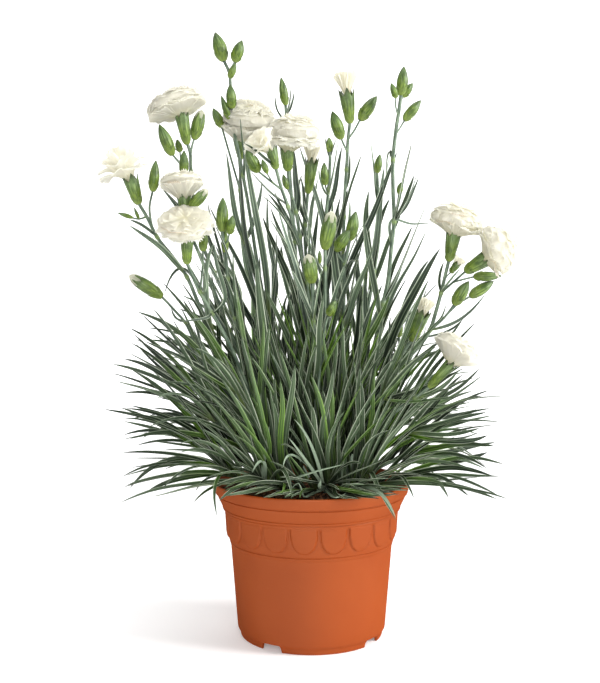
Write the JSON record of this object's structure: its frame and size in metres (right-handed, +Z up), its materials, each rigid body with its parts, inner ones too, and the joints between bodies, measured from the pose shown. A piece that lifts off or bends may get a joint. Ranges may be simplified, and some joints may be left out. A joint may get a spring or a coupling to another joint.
{
  "type": "potted dianthus plant",
  "caption": "Dianthus plant with cream double flowers, buds and narrow grey-green leaves, standing in a thin terracotta-coloured nursery pot.",
  "frame": {"origin": "centre of the pot's foot, on the surface that it stands on, and the middle of the plant's box", "axes": "+Z up, +Y to the back of the plant, +X to the right seen from the front"},
  "size_m": [0.2714, 0.2001, 0.4086],
  "materials": {
    "pot_plastic": "terracotta-coloured injection-moulded polypropylene, satin",
    "potting_soil": null,
    "stem_and_bud": null,
    "leaf": null,
    "petal": null
  },
  "bodies": {
    "root": {"pot": "pot_plastic", "soil": "potting_soil", "flower_stem_01": "stem_and_bud", "flower_stem_02": "stem_and_bud", "flower_stem_03": "stem_and_bud", "flower_stem_04": "stem_and_bud", "flower_stem_05": "stem_and_bud", "flower_stem_06": "stem_and_bud", "flower_stem_07": "stem_and_bud", "flower_stem_08": "stem_and_bud", "flower_stem_09": "stem_and_bud", "flower_stem_10": "stem_and_bud", "flower_stem_11": "stem_and_bud", "flower_stem_12": "stem_and_bud", "flower_stem_13": "stem_and_bud", "flower_stem_14": "stem_and_bud", "flower_stem_15": "stem_and_bud", "flower_stem_16": "stem_and_bud", "flower_stem_17": "stem_and_bud", "flower_stem_18": "stem_and_bud", "flower_stem_19": "stem_and_bud", "flower_stem_20": "stem_and_bud", "flower_stem_21": "stem_and_bud", "flower_stem_22": "stem_and_bud", "flower_stem_23": "stem_and_bud", "flower_stem_24": "stem_and_bud", "flower_01": "petal", "flower_02": "petal", "flower_03": "petal", "flower_04": "petal", "flower_05": "petal", "flower_06": "petal", "flower_07": "petal", "flower_08": "petal", "flower_09": "petal", "flower_10": "petal", "flower_11": "petal", "flower_12": "petal", "flower_13": "petal", "flower_14": "petal", "leaf_shoot_01": "leaf", "leaf_shoot_02": "leaf", "leaf_shoot_03": "leaf", "leaf_shoot_04": "leaf", "leaf_shoot_05": "leaf", "leaf_shoot_06": "leaf", "leaf_shoot_07": "leaf", "leaf_shoot_08": "leaf", "leaf_shoot_09": "leaf", "leaf_shoot_10": "leaf", "leaf_shoot_11": "leaf", "leaf_shoot_12": "leaf", "leaf_shoot_13": "leaf", "leaf_shoot_14": "leaf", "leaf_shoot_15": "leaf", "leaf_shoot_16": "leaf", "leaf_shoot_17": "leaf", "leaf_shoot_18": "leaf", "leaf_shoot_19": "leaf", "leaf_shoot_20": "leaf"}
  },
  "joints": []
}
